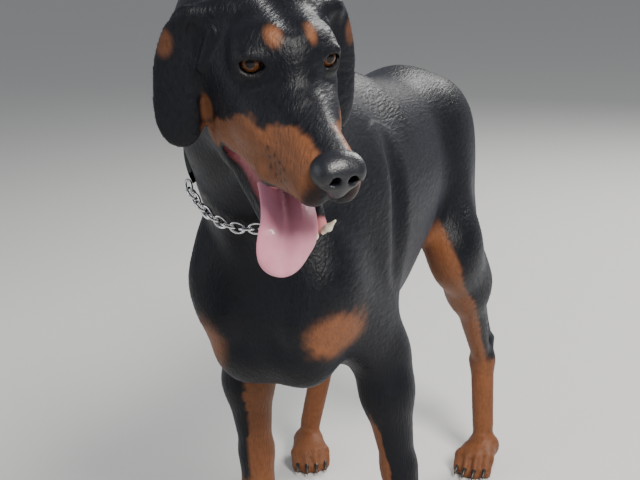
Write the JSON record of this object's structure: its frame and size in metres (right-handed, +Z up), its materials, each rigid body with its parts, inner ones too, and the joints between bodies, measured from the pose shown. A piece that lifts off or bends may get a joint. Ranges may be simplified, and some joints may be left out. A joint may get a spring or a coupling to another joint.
{
  "type": "standing dog figure",
  "caption": "Life-size still figure of a standing short-coated dog wearing a half-chain collar, head turned to its left, mouth open.",
  "frame": {"origin": "middle of the footprint on the floor under the feet", "axes": "+X to the dog's left, +Y to its tail, +Z up"},
  "size_m": [0.4066, 1.0036, 0.8428],
  "materials": {
    "black_coat": "short glossy black coat lying flat",
    "rust_coat": "short rust-red coat lying flat",
    "nose": "moist black nose leather",
    "tongue": "moist pink tongue",
    "tooth": "ivory enamel",
    "eye": "wet brown eye",
    "claw": "dark horn",
    "strap": "black webbing",
    "chain": "bright steel links"
  },
  "bodies": {
    "root": {"claw_fore_left_1": "claw", "claw_fore_left_2": "claw", "claw_fore_left_3": "claw", "claw_fore_left_4": "claw", "claw_fore_right_1": "claw", "claw_fore_right_2": "claw", "claw_fore_right_3": "claw", "claw_fore_right_4": "claw", "claw_hind_left_1": "claw", "claw_hind_left_2": "claw", "claw_hind_left_3": "claw", "claw_hind_left_4": "claw", "claw_hind_right_1": "claw", "claw_hind_right_2": "claw", "claw_hind_right_3": "claw", "claw_hind_right_4": "claw", "collar_chain": "chain", "collar_strap": "strap", "ear_left": "black_coat", "ear_right": "black_coat", "eye_left": "eye", "eye_right": "eye", "forefoot_left": "rust_coat", "forefoot_right": "rust_coat", "foreleg_left": "black_coat", "foreleg_right": "black_coat", "head": "black_coat", "hindfoot_left": "rust_coat", "hindfoot_right": "rust_coat", "hindleg_left": "black_coat", "hindleg_right": "black_coat", "jaw": "black_coat", "lower_canine_left": "tooth", "lower_canine_right": "tooth", "lower_incisors": "tooth", "neck": "black_coat", "nose": "nose", "tail": "black_coat", "thigh_left": "black_coat", "thigh_right": "black_coat", "tongue": "tongue", "torso": "black_coat"}
  },
  "joints": []
}
